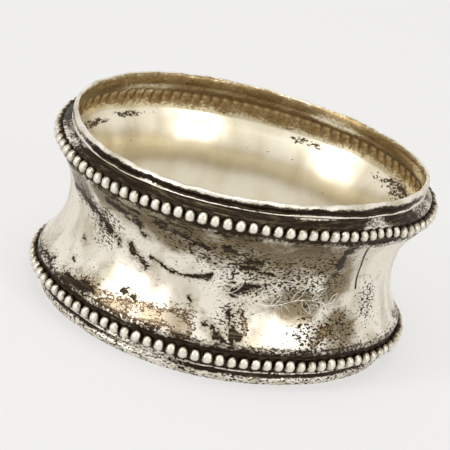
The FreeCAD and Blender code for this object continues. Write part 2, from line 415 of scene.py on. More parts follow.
def makeWallTree():
    numbers = [name for name in wallSizes if name not in ("columns", "beadCount")]
    sockets = [("section", "NodeSocketGeometry")]
    sockets += [(name, "NodeSocketInt") for name in ("columns", "beadCount")]
    sockets += sizeSockets(*numbers, *bends) + [("metal", "NodeSocketMaterial")]
    tree, sizes = newTree("wall", sockets, ("wall", "NodeSocketGeometry"))
    section = sizes["section"]
    count = addNode(tree, "GeometryNodeAttributeDomainSize", [section], component="MESH")
    acrossCount = addNode(tree, "ShaderNodeMath", [sizes["columns"], 1.0], operation="ADD")
    upCount = addNode(tree, "ShaderNodeMath", [count.outputs["Point Count"], 1.0], operation="ADD")
    grid = addNode(tree, "GeometryNodeMeshGrid", [1.0, 1.0, acrossCount, upCount])
    corner = addNode(tree, "ShaderNodeSeparateXYZ", [addNode(tree, "GeometryNodeInputPosition")])
    share = addNode(tree, "ShaderNodeMath", [corner.outputs["X"], 0.5], operation="ADD")
    rise = addNode(tree, "ShaderNodeMath", [corner.outputs["Y"], 0.5], operation="ADD")
    row = addNode(tree, "ShaderNodeMath", [rise, count.outputs["Point Count"]], operation="MULTIPLY")
    whole = addNode(tree, "ShaderNodeMath", [row], operation="ROUND")
    index = addNode(tree, "ShaderNodeMath", [whole, count.outputs["Point Count"]], operation="FLOORED_MODULO")

    spot = addNode(tree, "GeometryNodeSampleIndex", {
        "Geometry": section, "Value": addNode(tree, "GeometryNodeInputPosition"), "Index": index,
    }, data_type="FLOAT_VECTOR")
    given = {}
    for name in ("groove", "inside"):
        field = addNode(tree, "GeometryNodeInputNamedAttribute", {"Name": name}, data_type="FLOAT")
        given[name] = addNode(tree, "GeometryNodeSampleIndex", {
            "Geometry": section, "Value": field, "Index": index,
        }, data_type="FLOAT")
    point = addNode(tree, "ShaderNodeSeparateXYZ", [spot])
    radius, height = point.outputs["X"], point.outputs["Z"]
    angle = addEven(tree, sizes, share)

    # dimples behind the beads
    phase = addNode(tree, "ShaderNodeMath", [share, sizes["beadCount"]], operation="MULTIPLY")
    turns = addNode(tree, "ShaderNodeMath", [phase, 2 * math.pi], operation="MULTIPLY")
    wave = addNode(tree, "ShaderNodeMath", [turns], operation="COSINE")
    cup = addNode(tree, "ShaderNodeMath", [wave, -0.5, 0.5], operation="MULTIPLY_ADD")
    sine = addNode(tree, "ShaderNodeMath", [angle], operation="SINE")
    behind = addNode(tree, "ShaderNodeMath", [sine, 0.0], operation="MAXIMUM")
    upperRow = [behind, sizes["dimpleLift"], sizes["upperRow"]]
    upperDimples = addNode(tree, "ShaderNodeMath", upperRow, operation="MULTIPLY_ADD")
    humps = []
    for level in (sizes["bandInset"], upperDimples):
        away = addNode(tree, "ShaderNodeMath", [height, level], operation="SUBTRACT")
        ratio = addNode(tree, "ShaderNodeMath", [away, sizes["dimpleHeight"]], operation="DIVIDE")
        humps.append(addHump(tree, [ratio]))
    cupped = addNode(tree, "ShaderNodeMath", [addTotal(tree, humps), cup], operation="MULTIPLY")
    hollow = addNode(tree, "ShaderNodeMath", [cupped, given["inside"]], operation="MULTIPLY")
    dimple = addNode(tree, "ShaderNodeMath", [hollow, sizes["dimpleDepth"]], operation="MULTIPLY")

    # unevenness and dents
    place = addSpot(tree, angle, sizes["bandRadius"], height)
    drawnOut = addNode(tree, "ShaderNodeCombineXYZ", [1.0, 1.0, sizes["rippleStretch"]])
    upright = addNode(tree, "ShaderNodeVectorMath", [place, drawnOut], operation="MULTIPLY")
    uneven = {}
    for name, where, detail in (("wobble", place, 1.0), ("lipWobble", place, 1.0), ("ripple", upright, 0.0)):
        grain = addNode(tree, "ShaderNodeMath", [1.0, sizes[name + "Width"]], operation="DIVIDE")
        noise = addNode(tree, "ShaderNodeTexNoise", {"Vector": where, "Scale": grain, "Detail": detail})
        centred = addNode(tree, "ShaderNodeMath", [noise, 0.5], operation="SUBTRACT")
        uneven[name] = addNode(tree, "ShaderNodeMath", [centred, sizes[name]], operation="MULTIPLY")
    shifts = [radius, uneven["wobble"], dimple, uneven["ripple"]]
    for turn, level, wide, tall, depth in dents:
        away = addAway(tree, angle, math.radians(turn))
        wideRatio = addNode(tree, "ShaderNodeMath", [away, math.radians(wide)], operation="DIVIDE")
        higher = addNode(tree, "ShaderNodeMath", [height, level], operation="SUBTRACT")
        tallRatio = addNode(tree, "ShaderNodeMath", [higher, tall], operation="DIVIDE")
        hump = addHump(tree, [wideRatio, tallRatio])
        shifts.append(addNode(tree, "ShaderNodeMath", [hump, -depth], operation="MULTIPLY"))
    top = addNode(tree, "ShaderNodeMapRange", {
        "Value": height, "From Min": sizes["upperRow"], "From Max": sizes["ringHeight"],
    })
    raised = addNode(tree, "ShaderNodeMath", [uneven["lipWobble"], top, height], operation="MULTIPLY_ADD")
    bent = addBend(tree, sizes, angle, addTotal(tree, shifts), raised)
    metres = addNode(tree, "ShaderNodeVectorMath", {0: bent, "Scale": millimetre}, operation="SCALE")

    body = grid
    given["cup"] = hollow
    for name, value in given.items():
        body = addNode(tree, "GeometryNodeStoreNamedAttribute", {
            "Geometry": body, "Name": name, "Value": value,
        }, data_type="FLOAT", domain="POINT")
    body = addNode(tree, "GeometryNodeStoreNamedAttribute", {
        "Geometry": body, "Name": "UVMap", "Value": grid.outputs["UV Map"],
    }, data_type="FLOAT2", domain="CORNER")
    body = addNode(tree, "GeometryNodeSetPosition", {"Geometry": body, "Position": metres})
    body = addNode(tree, "GeometryNodeMergeByDistance", {"Geometry": body, "Distance": 0.001 * millimetre})
    finishTree(tree, body, sizes["metal"])
    return tree


beadSizes = {
    "beadCount": 94,
    "beadWidth": 1.47,
    "beadHeight": 1.72,
    "beadRise": 0.98,
    "taper": 0.12,  # a bead is narrower towards its upper end
    "squareness": 0.84,  # 1 is a round ball, and less is squarer
    "foot": 0.08,  # how far a bead's flat foot sinks into the band, as a share of its rise
    "smallest": 0.93,
    "largest": 1.04,
    "jitter": 7.0,  # degrees that a bead is turned askew
    "lump": 0.16,  # unevenness of the worn stamping
    "lumpWidth": 0.8,
    "knockTurn": 326.0,  # where a knock has crowded the upper row together
    "knockSpread": 9.0,
    "knockLift": 0.32,
    "knockSqueeze": 0.2,
    "knockLean": 38.0,
    "bandRadius": hoop["bandRadius"],
    "bandInset": hoop["bandInset"],
}


middleGrey = (0.5, 0.5, 0.5)  # a noise's colour at rest


def makeBeadTree():
    numbers = [name for name in beadSizes if name != "beadCount"]
    sockets = [("start", "NodeSocketGeometry"), ("beadCount", "NodeSocketInt")]
    sockets += sizeSockets(*numbers, *bends) + [("metal", "NodeSocketMaterial")]
    tree, sizes = newTree("beads", sockets, ("beads", "NodeSocketGeometry"))
    both = addNode(tree, "ShaderNodeMath", [sizes["beadCount"], 2.0], operation="MULTIPLY")
    seats = addNode(tree, "GeometryNodePoints", [both])
    index = addNode(tree, "GeometryNodeInputIndex")
    ratio = addNode(tree, "ShaderNodeMath", [index, sizes["beadCount"]], operation="DIVIDE")
    upper = addNode(tree, "ShaderNodeMath", [ratio], operation="FLOOR")
    cell = addNode(tree, "ShaderNodeMath", [index, sizes["beadCount"]], operation="FLOORED_MODULO")
    middle = addNode(tree, "ShaderNodeMath", [cell, 0.5], operation="ADD")
    share = addNode(tree, "ShaderNodeMath", [middle, sizes["beadCount"]], operation="DIVIDE")
    angle = addEven(tree, sizes, share)
    between = addNode(tree, "ShaderNodeMath", [sizes["upperRow"], sizes["bandInset"]], operation="SUBTRACT")
    level = addNode(tree, "ShaderNodeMath", [upper, between, sizes["bandInset"]], operation="MULTIPLY_ADD")
    knockTurn = addNode(tree, "ShaderNodeMath", [sizes["knockTurn"]], operation="RADIANS")
    knockSpread = addNode(tree, "ShaderNodeMath", [sizes["knockSpread"]], operation="RADIANS")
    knockAway = addAway(tree, angle, knockTurn)
    fromKnock = addNode(tree, "ShaderNodeMath", [knockAway, knockSpread], operation="DIVIDE")
    knock = addNode(tree, "ShaderNodeMath", [addHump(tree, [fromKnock]), upper], operation="MULTIPLY")
    height = addNode(tree, "ShaderNodeMath", [knock, sizes["knockLift"], level], operation="MULTIPLY_ADD")
    seat = addBend(tree, sizes, angle, sizes["bandRadius"], height)

    # the row's direction and the wall's, from points a little further on and a little higher
    step = 0.02
    further = addNode(tree, "ShaderNodeMath", [angle, step], operation="ADD")
    higher = addNode(tree, "ShaderNodeMath", [height, step], operation="ADD")
    ahead = addBend(tree, sizes, further, sizes["bandRadius"], height)
    above = addBend(tree, sizes, angle, sizes["bandRadius"], higher)
    along = addNode(tree, "ShaderNodeVectorMath", [ahead, seat], operation="SUBTRACT")
    upward = addNode(tree, "ShaderNodeVectorMath", [above, seat], operation="SUBTRACT")
    outward = addNode(tree, "ShaderNodeVectorMath", [along, upward], operation="CROSS_PRODUCT")
    stance = addNode(tree, "FunctionNodeAxesToRotation", [outward, along],
                     primary_axis="Z", secondary_axis="X")
    swing = addNode(tree, "ShaderNodeMath", [sizes["jitter"]], operation="RADIANS")
    back = addNode(tree, "ShaderNodeMath", [swing, -1.0], operation="MULTIPLY")
    askew = addNode(tree, "FunctionNodeRandomValue", {2: back, 3: swing, "Seed": 7}, data_type="FLOAT")
    knockLean = addNode(tree, "ShaderNodeMath", [sizes["knockLean"]], operation="RADIANS")
    lean = addNode(tree, "ShaderNodeMath", [knock, knockLean, askew.outputs[1]], operation="MULTIPLY_ADD")
    leaning = addNode(tree, "ShaderNodeCombineXYZ", [askew.outputs[1], 0.0, lean])
    spin = addNode(tree, "FunctionNodeEulerToRotation", [leaning])
    turned = addNode(tree, "FunctionNodeRotateRotation", [stance, spin], rotation_space="LOCAL")
    sized = addNode(tree, "FunctionNodeRandomValue", {
        2: sizes["smallest"], 3: sizes["largest"], "Seed": 11,
    }, data_type="FLOAT")
    squeeze = addNode(tree, "ShaderNodeMath", [knock, sizes["knockSqueeze"]], operation="MULTIPLY")
    narrowing = addNode(tree, "ShaderNodeMath", [sized.outputs[1], squeeze], operation="SUBTRACT")
    fitted = addNode(tree, "ShaderNodeCombineXYZ", [narrowing, sized.outputs[1], narrowing])

    # one bead: a ball, drawn out into a drop, with its crest and foot told apart for the finish, which paints
    # its flanks and foot darker as painted shade
    ball = addNode(tree, "GeometryNodeMeshIcoSphere", {"Radius": 1.0, "Subdivisions": 2})
    spot = addNode(tree, "ShaderNodeSeparateXYZ", [addNode(tree, "GeometryNodeInputPosition")])
    squared = {}
    for axis in "XYZ":
        size = addNode(tree, "ShaderNodeMath", [spot.outputs[axis]], operation="ABSOLUTE")
        eased = addNode(tree, "ShaderNodeMath", [size, sizes["squareness"]], operation="POWER")
        sign = addNode(tree, "ShaderNodeMath", [spot.outputs[axis]], operation="SIGN")
        squared[axis] = addNode(tree, "ShaderNodeMath", [eased, sign], operation="MULTIPLY")
    narrowed = addNode(tree, "ShaderNodeMath", [squared["Y"], sizes["taper"]], operation="MULTIPLY")
    width = addNode(tree, "ShaderNodeMath", [1.0, narrowed], operation="SUBTRACT")
    across = addNode(tree, "ShaderNodeMath", [squared["X"], width], operation="MULTIPLY")
    halves = {}
    for name in ("beadWidth", "beadHeight"):
        halves[name] = addNode(tree, "ShaderNodeMath", [sizes[name], 0.5], operation="MULTIPLY")
    below = addNode(tree, "ShaderNodeMath", [sizes["foot"], -1.0], operation="MULTIPLY")
    risen = addNode(tree, "ShaderNodeMath", [squared["Z"], below], operation="MAXIMUM")
    shaped = addNode(tree, "ShaderNodeCombineXYZ", [across, squared["Y"], risen])
    scale = addNode(tree, "ShaderNodeCombineXYZ", [*halves.values(), sizes["beadRise"]])
    drop = addNode(tree, "ShaderNodeVectorMath", [shaped, scale], operation="MULTIPLY")
    bead = addNode(tree, "GeometryNodeStoreNamedAttribute", {
        "Geometry": ball, "Name": "crest", "Value": squared["Z"],
    }, data_type="FLOAT", domain="POINT")
    bead = addNode(tree, "GeometryNodeSetPosition", {"Geometry": bead, "Position": drop})

    points = addNode(tree, "GeometryNodeSetPosition", {"Geometry": seats, "Position": seat})
    row = addNode(tree, "GeometryNodeInstanceOnPoints", {
        "Points": points, "Instance": bead, "Rotation": turned, "Scale": fitted,
    })
    body = addNode(tree, "GeometryNodeRealizeInstances", {"Geometry": row})
    place = addNode(tree, "GeometryNodeInputPosition")
    fineness = addNode(tree, "ShaderNodeMath", [1.0, sizes["lumpWidth"]], operation="DIVIDE")
    noise = addNode(tree, "ShaderNodeTexNoise", {"Vector": place, "Scale": fineness, "Detail": 0.0})
    swell = noise.outputs["Color"]
    centred = addNode(tree, "ShaderNodeVectorMath", [swell, middleGrey], operation="SUBTRACT")
    lump = addNode(tree, "ShaderNodeVectorMath", {0: centred, "Scale": sizes["lump"]}, operation="SCALE")
    body = addNode(tree, "GeometryNodeSetPosition", {"Geometry": body, "Offset": lump})
    metres = addNode(tree, "ShaderNodeVectorMath", {0: place, "Scale": millimetre}, operation="SCALE")
    body = addNode(tree, "GeometryNodeSetPosition", {"Geometry": body, "Position": metres})
    finishTree(tree, body, sizes["metal"])
    return tree


sprigSizes = {
    "sprigStart": 266.0,  # turn where the stem starts
    "sprigLength": 21.0,
    "sprigLevel": 10.6,  # height of its middle
    "sprigWave": 0.5,
    "leafLength": 2.3,
    "leafWidth": 0.75,
    "leafSlant": 48.0,
    "cutWidth": 0.075,
    "waistRadius": 20.45,
    "stemTurn": 0.55,  # radians of the stem's wave to a millimetre
    "bulgeAt": 0.45,  # where a leaf is widest, as a share of its length
    "smallestLeaf": 0.75,
    "largestLeaf": 1.15,
}
sprigCounts = {
    "leaves": 15,
    "stemPoints": 90,
    "leafPoints": 9,
    "cutSides": 6,
}


# A sprig of slanting leaves, cut with a graver: drawn flat, wrapped round the waist, laid on the wall
def makeSprigTree():
    sockets = [("start", "NodeSocketGeometry"), ("wall", "NodeSocketObject")]
    sockets += [(name, "NodeSocketInt") for name in sprigCounts]
    sockets += sizeSockets(*sprigSizes, *bends) + [("metal", "NodeSocketMaterial")]
    tree, sizes = newTree("sprig", sockets, ("sprig", "NodeSocketGeometry"))
    end = addNode(tree, "ShaderNodeCombineXYZ", [sizes["sprigLength"], 0.0, 0.0])
    line = addNode(tree, "GeometryNodeCurvePrimitiveLine", {"End": end})
    fine = addNode(tree, "GeometryNodeResampleCurve", {"Curve": line, "Count": sizes["stemPoints"]})
    spot = addNode(tree, "ShaderNodeSeparateXYZ", [addNode(tree, "GeometryNodeInputPosition")])
    phase = addNode(tree, "ShaderNodeMath", [spot.outputs["X"], sizes["stemTurn"]], operation="MULTIPLY")
    wave = addNode(tree, "ShaderNodeMath", [phase], operation="SINE")
    swing = addNode(tree, "ShaderNodeMath", [wave, sizes["sprigWave"]], operation="MULTIPLY")
    shift = addNode(tree, "ShaderNodeCombineXYZ", [0.0, swing, 0.0])
    stem = addNode(tree, "GeometryNodeSetPosition", {"Geometry": fine, "Offset": shift})

    tip = addNode(tree, "ShaderNodeCombineXYZ", [sizes["leafLength"], 0.0, 0.0])
    half = addNode(tree, "ShaderNodeMath", [sizes["leafLength"], sizes["bulgeAt"]], operation="MULTIPLY")
    sides = addNode(tree, "GeometryNodeJoinGeometry")
    for side in (1.0, -1.0):
        bulge = addNode(tree, "ShaderNodeMath", [sizes["leafWidth"], side], operation="MULTIPLY")
        middle = addNode(tree, "ShaderNodeCombineXYZ", [half, bulge, 0.0])
        stroke = addNode(tree, "GeometryNodeCurveQuadraticBezier", {
            "Resolution": sizes["leafPoints"], "Start": (0.0, 0.0, 0.0), "Middle": middle, "End": tip,
        })
        tree.links.new(stroke.outputs[0], sides.inputs[0])
    nodesOnStem = addNode(tree, "GeometryNodeCurveToPoints", {"Curve": stem, "Count": sizes["leaves"]})
    index = addNode(tree, "GeometryNodeInputIndex")
    odd = addNode(tree, "ShaderNodeMath", [index, 2.0], operation="FLOORED_MODULO")
    slant = addNode(tree, "ShaderNodeMath", [sizes["leafSlant"]], operation="RADIANS")
    sign = addNode(tree, "ShaderNodeMath", [odd, -2.0, 1.0], operation="MULTIPLY_ADD")
    flip = addNode(tree, "ShaderNodeMath", [sign, slant], operation="MULTIPLY")
    spin = addNode(tree, "ShaderNodeCombineXYZ", [0.0, 0.0, flip])
    leaning = addNode(tree, "FunctionNodeEulerToRotation", [spin])
    sized = addNode(tree, "FunctionNodeRandomValue", {
        2: sizes["smallestLeaf"], 3: sizes["largestLeaf"], "Seed": 3,
    }, data_type="FLOAT")
    leaves = addNode(tree, "GeometryNodeInstanceOnPoints", {
        "Points": nodesOnStem, "Instance": sides, "Rotation": leaning, "Scale": sized.outputs[1],
    })
    flatLeaves = addNode(tree, "GeometryNodeRealizeInstances", {"Geometry": leaves})
    strokes = addNode(tree, "GeometryNodeJoinGeometry")
    tree.links.new(stem.outputs[0], strokes.inputs[0])
    tree.links.new(flatLeaves.outputs[0], strokes.inputs[0])

    begin = addNode(tree, "ShaderNodeMath", [sizes["sprigStart"]], operation="RADIANS")
    arc = addNode(tree, "ShaderNodeMath", [spot.outputs["X"], sizes["waistRadius"]], operation="DIVIDE")
    angle = addNode(tree, "ShaderNodeMath", [arc, begin], operation="ADD")
    level = addNode(tree, "ShaderNodeMath", [spot.outputs["Y"], sizes["sprigLevel"]], operation="ADD")
    place = addBend(tree, sizes, angle, sizes["waistRadius"], level)
    metres = addNode(tree, "ShaderNodeVectorMath", {0: place, "Scale": millimetre}, operation="SCALE")
    wrapped = addNode(tree, "GeometryNodeSetPosition", {"Geometry": strokes, "Position": metres})
    target = addNode(tree, "GeometryNodeObjectInfo", {"Object": sizes["wall"]})
    nearest = addNode(tree, "GeometryNodeProximity", {"Geometry": target.outputs["Geometry"]},
                      target_element="FACES").outputs["Position"]
    laid = addNode(tree, "GeometryNodeSetPosition", {"Geometry": wrapped, "Position": nearest})
    halfWidth = addNode(tree, "ShaderNodeMath", [sizes["cutWidth"], 0.5 * millimetre], operation="MULTIPLY")
    cutRound = {"Resolution": sizes["cutSides"], "Radius": halfWidth}
    cut = addNode(tree, "GeometryNodeCurvePrimitiveCircle", cutRound)
    body = addNode(tree, "GeometryNodeCurveToMesh", {"Curve": laid, "Profile Curve": cut, "Fill Caps": True})
    finishTree(tree, body, sizes["metal"])
    return tree


# An sRGB hex colour as a linear one
def colour(code):
    parts = [int(code[start:start + 2], 16) / 255 for start in (1, 3, 5)]
    linear = [part / 12.92 if part <= 0.04045 else ((part + 0.055) / 1.055) ** 2.4 for part in parts]
    return (*linear, 1.0)


# Antique silver, rolled and stamped: pale and warm where handled, brown-black with tarnish in hollows, with
# painted shade high on the waist under the beads, on the beads' flanks and in their gaps, and along the
# crease, and a painted highlight in the dimples inside
silver = {
    "bright": "#f3ecde",
    "handled": "#c8bea7",
    # a dull tarnish, also used as painted shade high on the waist under the upper beads
    "dullAndShade": "#8d7f65",
    "inside": "#f3ebd5",
    "insideDull": "#dccfae",
    "insideHollow": "#99845e",
    "insideDeep": "#765f3e",
    # a painted highlight: lighter in the dimples behind the beads
    "insideCupHighlight": "#ba9e70",
    "insideMark": "#574630",
    "tarnish": "#2c2116",
    "scuffed": "#75674f",
    "copper": "#a98c58",
    "copperEdge": "#6e4f2c",
    # painted shade on the sides of the beads, which leaves the crests bright as a painted highlight
    "beadFlankShade": "#75684f",
    "cut": "#f4f0e6",
    "brightRoughness": 0.32,
    "insideRoughness": 0.31,
    "cutRoughness": 0.3,
    "tarnishRoughness": 0.46,
    "tarnishMetal": 0.85,
    "wander": 1.5,  # how far the marks stray from their drawn lines
    "raggedness": 9.0,  # how much the noise frays a blotch's edge, and the level that it sways about
    "raggedLevel": 4.6,
    "dullAndShadePull": 0.42,  # how much a stain adds to the noise that it is made from
    "speckPull": 0.14,
    "markPull": 0.16,
    "hollowFray": 2.0,
    "rubbedDepth": 0.5,
    "beadFray": 0.7,
    "bumpStrength": 0.35,
    "bumpHeight": 0.06,
    "dirtRelief": 0.3,
}

# The noises of the finish: a patch's size in millimetres, how the place is stretched along each axis,
# detail, roughness and distortion. A speck of tarnish is drawn a little coarse, so that it shows.
noises = {
    "smudge": (3.6, (1.0, 1.0, 0.45), 3.0, 0.55, 0.3),
    "cloud": (3.2, (1.0, 1.0, 1.7), 6.0, 0.62, 0.6),
    "grain": (0.42, (1.0, 1.0, 1.7), 4.0, 0.6, 0.0),
    "stray": (1.6, (1.0, 1.0, 1.0), 1.0, 0.5, 0.0),
    "rub": (1.0, (0.35, 0.35, 5.0), 4.0, 0.7, 0.0),
    "beadGrain": (0.42, (1.0, 1.0, 1.0), 4.0, 0.6, 0.0),
}

# Where each mark fades in: the value with none of it, the value with all of it, and how strong it gets
fades = {
    "stain": (1.25, 0.35, 1.0),
    "foot": (6.9, 5.0, 0.85),
    "handled": (0.44, 0.7, 1.0),
    "dullAndShade": (0.58, 0.88, 1.0),
    "halo": (2.6, 1.0, 0.6),
    "streaks": (1.05, 0.85, 1.0),
    "copper": (1.6, 0.9, 0.5),
    "copperEdge": (0.5, 0.2, 0.9),
    "rim": (0.2, 0.1, 0.8),
    "lines": (1.0, 0.4, 1.0),
    "specks": (0.65, 0.68, 1.0),
    "lone": (0.68, 0.72, 1.0),
    "scuffed": (0.52, 0.72, 1.0),
    "insideMark": (0.62, 0.68, 1.0),
    "insideDull": (0.4, 0.85, 1.0),
    "insideHollow": (1.38, 1.66, 1.0),
    "insideDeep": (1.75, 2.05, 1.0),
    # a bead's foot darkens with tarnish and with painted shade in the gaps, and its flanks with painted shade
    "beadGapTarnishAndShade": (0.2, -0.05, 1.0),
    "beadFlankShade": (0.55, 0.12, 1.0),
}

# Soft stains on the waist: turn from the front, height, half width and half height
stains = {
    # the ones high on the waist, just under the upper beads, are painted shade; the rest are dull tarnish
    "dullAndShade": [
        (-38, 18.4, 8, 2.8), (-18, 18.3, 9, 4.2), (6, 18.2, 9, 4.2), (26, 18.0, 9, 4.2), (40, 17.2, 4, 3.0),
        (48, 14.0, 3.4, 4.6), (30, 10.5, 5, 3.0), (52, 7.4, 4.0, 3.0), (-62, 17.4, 4, 3.0),
        (128, 8.0, 12, 5), (150, 15, 12, 6), (-150, 12, 13, 6), (-110, 17, 10, 4),
    ],
    "specked": [
        (12, 14.5, 7, 5.0), (26, 14.6, 8, 4.8), (38, 14.4, 6, 6.4), (0, 16.5, 7, 3.5), (67, 10.0, 2.6, 3.8),
        (8, 8.0, 3.0, 4.0), (38, 7.0, 4, 3.4), (-10, 17.0, 7, 2.5), (112, 13, 10, 4), (-160, 15, 12, 5),
        (-48, 14.0, 4, 4), (-62, 16.5, 4, 2.6), (50, 7.5, 4.5, 3.0),
    ],
    "inner": [
        (-108, 18.8, 4.0, 0.6), (-126, 19.2, 5.0, 0.5), (160, 18.4, 3.6, 0.6), (118, 18.2, 5.5, 1.6),
        (-10, 7.0, 10, 3.0), (60, 8.0, 9, 3.0),
    ],
    "rubbed": [
        (55, 22.3, 4.0, 1.0), (92, 22.8, 10, 1.7), (-72, 22.4, 6, 1.5), (-30, 22.9, 2.5, 0.5),
        (30, 23.4, 5, 0.5), (150, 22.6, 5, 1.0), (-130, 22.8, 6, 1.2), (-20, 1.6, 8, 0.8), (120, 2.0, 6, 1.0),
    ],
}

# Ragged blotches and streaks of tarnish: turn and height of both ends, and half width
blotches = {
    "black": [
        (-68, 16.0, -57, 15.9, 0.5), (-58, 15.6, -50, 14.6, 0.75), (-50, 14.6, -41, 13.0, 0.5),
        (-45, 18.0, -32, 16.8, 0.7), (-31.5, 15.6, -30.5, 15.6, 0.4), (-24, 18.0, -14, 17.7, 0.7),
        (-14, 17.7, -6, 17.0, 0.45), (-36, 13.0, -27.5, 11.4, 0.45), (-26, 12.6, -15, 12.2, 0.25),
        (-15, 12.2, -3, 13.1, 0.22), (-3.5, 20.0, -2, 19.8, 0.5), (-55, 5.2, -44, 5.8, 0.9),
        (-73, 5.2, -66, 5.4, 0.6), (0, 17.9, 13, 16.2, 0.65), (3, 15.5, 17.5, 14.8, 0.55),
        (5.5, 11.9, 15, 12.9, 0.5), (5.5, 9.1, 11.0, 6.0, 0.4), (-57.5, 10.1, -56.5, 10, 0.35),
        (-58, 7.6, -57, 7.4, 0.3), (-41, 12.6, -40.5, 12.4, 0.3), (-8.5, 9.6, -8, 9.5, 0.25),
        (-32, 7.5, -31, 7.4, 0.35), (-27.5, 7.5, -26.5, 7.3, 0.35), (43.5, 19.3, 46, 14.8, 0.6),
        (-1, 7.4, 5.5, 5.8, 0.4), (8, 7.5, 9.0, 5.2, 0.4),
        (-42, 19.0, -31, 18.8, 0.35), (-27, 19.0, -13, 19.1, 0.3),
        (110, 12, 118, 9, 0.9), (150, 17, 165, 15, 0.8), (-140, 9, -128, 12, 0.9), (-105, 16, -95, 18, 0.7),
        (-175, 8, -165, 7, 0.8),
    ],
    "brown": [
        (-36, 5.6, -26, 5.9, 0.9), (-26, 5.9, -15, 6.6, 1.1), (-15, 6.6, -8, 6.2, 1.1),
        (-47, 6.0, -38, 6.2, 0.6), (40, 6.0, 46, 7.6, 0.4), (10, 9.5, 13, 7.0, 0.3),
        (88, 5.8, 104, 5.5, 0.45), (-120, 5.7, -104, 5.9, 0.4),
    ],
}

# Painted shade along the crease and its knock: dark lines, drawn as blotches but fine
creaseShadeLines = [
    (52.5, 19.3, 58.0, 15.6, 0.24), (58.0, 15.6, 60.0, 12.1, 0.22),
]


def newMaterial(name):
    material = bpy.data.materials.new(name)
    material.use_nodes = True
    material.node_tree.nodes.clear()
    return material, material.node_tree


# The piece's own coordinates, in millimetres
def addPlace(tree):
    own = addNode(tree, "ShaderNodeTexCoord").outputs["Object"]
    return addNode(tree, "ShaderNodeVectorMath", {0: own, "Scale": 1 / millimetre}, operation="SCALE")


def addNoises(tree, here, names):
    found = {}
    for name in names:
        size, stretch, detail, roughness, distortion = noises[name]
        stretched = addNode(tree, "ShaderNodeVectorMath", [here, stretch], operation="MULTIPLY")
        found[name] = addNode(tree, "ShaderNodeTexNoise", {
            "Vector": stretched, "Scale": 1 / size,
            "Detail": detail, "Roughness": roughness, "Distortion": distortion,
        })
    return found


def fade(name):
    nothing, everything, strength = fades[name]
    return {"From Min": nothing, "From Max": everything, "To Max": strength}


unrolledRadius = 21.0


# The wall unrolled: millimetres round from the front, and height
def addUnrolled(tree, here):
    parts = addNode(tree, "ShaderNodeSeparateXYZ", [here])
    back = addNode(tree, "ShaderNodeMath", [parts.outputs["Y"], -1.0], operation="MULTIPLY")
    turn = addNode(tree, "ShaderNodeMath", [parts.outputs["X"], back], operation="ARCTAN2")
    around = addNode(tree, "ShaderNodeMath", [turn, unrolledRadius], operation="MULTIPLY")
    return addNode(tree, "ShaderNodeCombineXYZ", [around, parts.outputs["Z"], 0.0])


def unrolled(turn, height):
    return (math.radians(turn) * unrolledRadius, height, 0.0)


# The way from a mark, the short way round, so that nothing is cut off at the back
def addWayFrom(tree, flat, mark):
    away = addNode(tree, "ShaderNodeVectorMath", [flat, mark], operation="SUBTRACT")
    farHeight = 100.0
    most = (math.pi * unrolledRadius, farHeight, farHeight)
    least = tuple(-part for part in most)
    return addNode(tree, "ShaderNodeVectorMath", [away, most, least], operation="WRAP")


# Where any of a list of soft stains lies
def addStains(tree, flat, name):
    found = None
    for turn, height, wide, tall in stains[name]:
        away = addWayFrom(tree, flat, unrolled(turn, height))
        squeeze = (1 / wide, 1 / tall, 1.0)
        squeezed = addNode(tree, "ShaderNodeVectorMath", [away, squeeze], operation="MULTIPLY")
        distance = addNode(tree, "ShaderNodeVectorMath", [squeezed], operation="LENGTH").outputs["Value"]
        stain = addNode(tree, "ShaderNodeMapRange", {"Value": distance, **fade("stain")},
                        interpolation_type="SMOOTHSTEP")
        found = addNode(tree, "ShaderNodeMath", [stain, found], operation="MAXIMUM") if found else stain
    return found


# How far the nearest line of a list lies, as a share of that line's half width
def addNearness(tree, flat, lines):
    found = None
    for startTurn, startHeight, endTurn, endHeight, width in lines:
        first, last = Vector(unrolled(startTurn, startHeight)), Vector(unrolled(endTurn, endHeight))
        way = last - first
        perLength = way / way.length_squared
        away = addWayFrom(tree, flat, first)
        along = addNode(tree, "ShaderNodeVectorMath", [away, perLength], operation="DOT_PRODUCT")
        share = addNode(tree, "ShaderNodeClamp", [along.outputs["Value"]])
        foot = addNode(tree, "ShaderNodeVectorMath", {0: way, "Scale": share}, operation="SCALE")
        distance = addNode(tree, "ShaderNodeVectorMath", [away, foot], operation="DISTANCE").outputs["Value"]
        ratio = addNode(tree, "ShaderNodeMath", [distance, width], operation="DIVIDE")
        found = addNode(tree, "ShaderNodeMath", [ratio, found], operation="MINIMUM") if found else ratio
    return found


